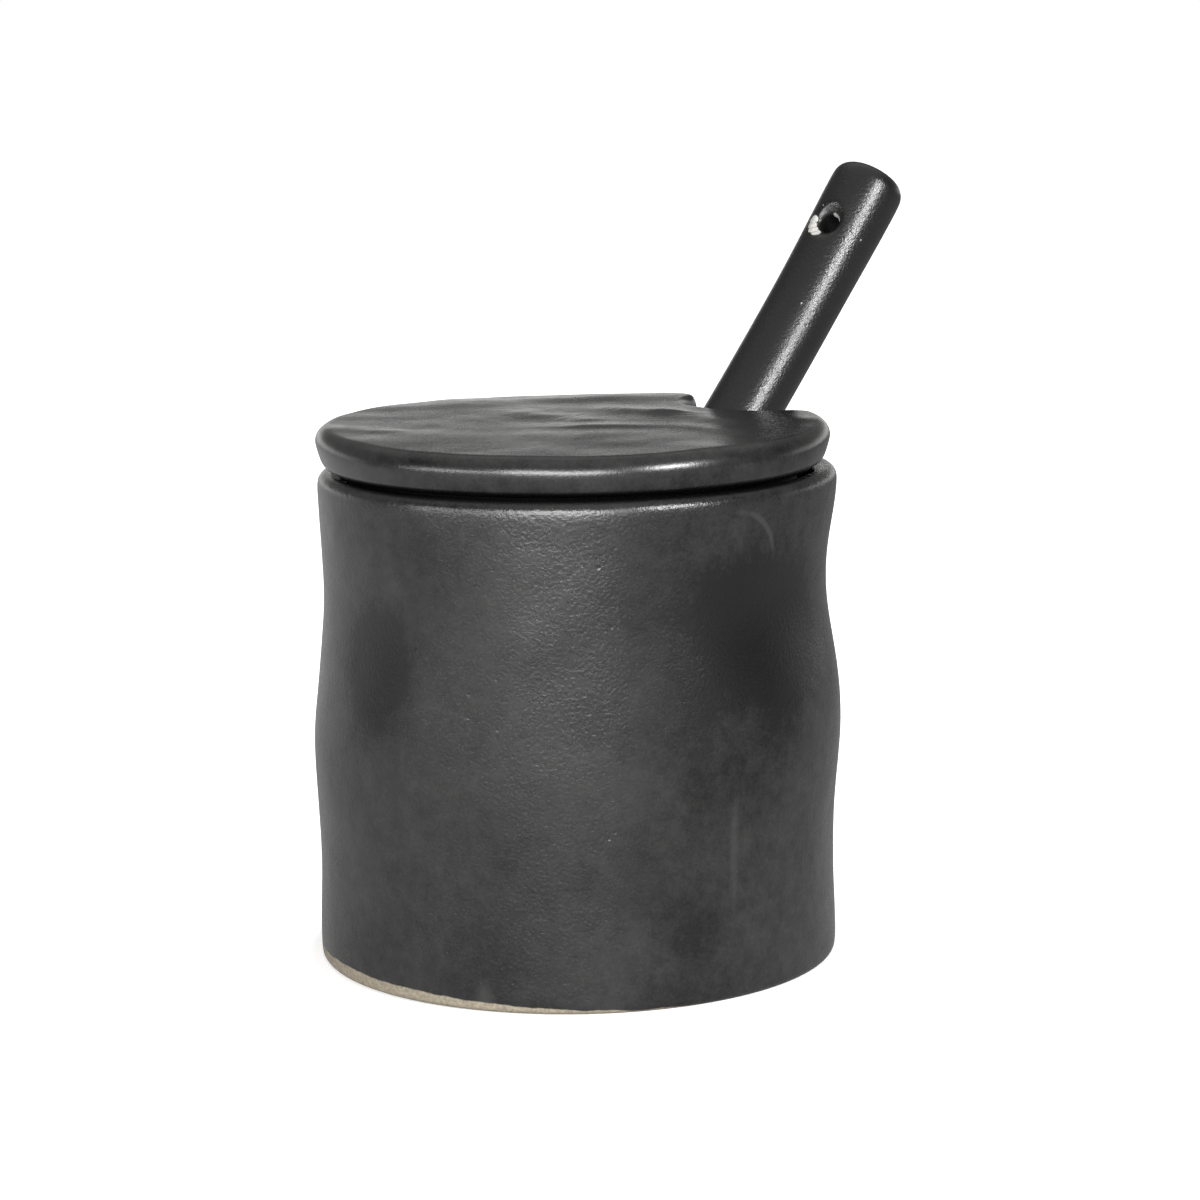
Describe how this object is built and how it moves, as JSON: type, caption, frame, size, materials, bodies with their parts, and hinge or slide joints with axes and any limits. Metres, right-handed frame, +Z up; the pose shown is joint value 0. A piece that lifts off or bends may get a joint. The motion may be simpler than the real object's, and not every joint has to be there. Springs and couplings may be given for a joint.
{
  "type": "sugar bowl",
  "caption": "Stoneware sugar bowl: straight, softly dented jar with a flat slab lid, scalloped at its edge for the rod handle of a spoon that leans out of it.",
  "frame": {"origin": "centre of the jar's base, on the surface it stands on", "axes": "+Z up; +X to the viewer's right and -Y towards the viewer when the spoon leans away to the right"},
  "size_m": [0.0986, 0.0857, 0.1262],
  "materials": {
    "charcoal_glaze": "satin",
    "spoon_glaze": "satin"
  },
  "bodies": {
    "jar": {"jar": "charcoal_glaze"},
    "lid": {"lid": "charcoal_glaze"},
    "spoon": {"spoon": "spoon_glaze"}
  },
  "joints": [
    {"name": "lid_lift", "type": "slide", "parent": "jar", "child": "lid", "axis": [0, 0, 1], "range_m": [0, 0.06]},
    {"name": "spoon_pull", "type": "slide", "parent": "jar", "child": "spoon", "axis": [0.503, 0.386, 0.7733], "range_m": [0, 0.05]}
  ]
}
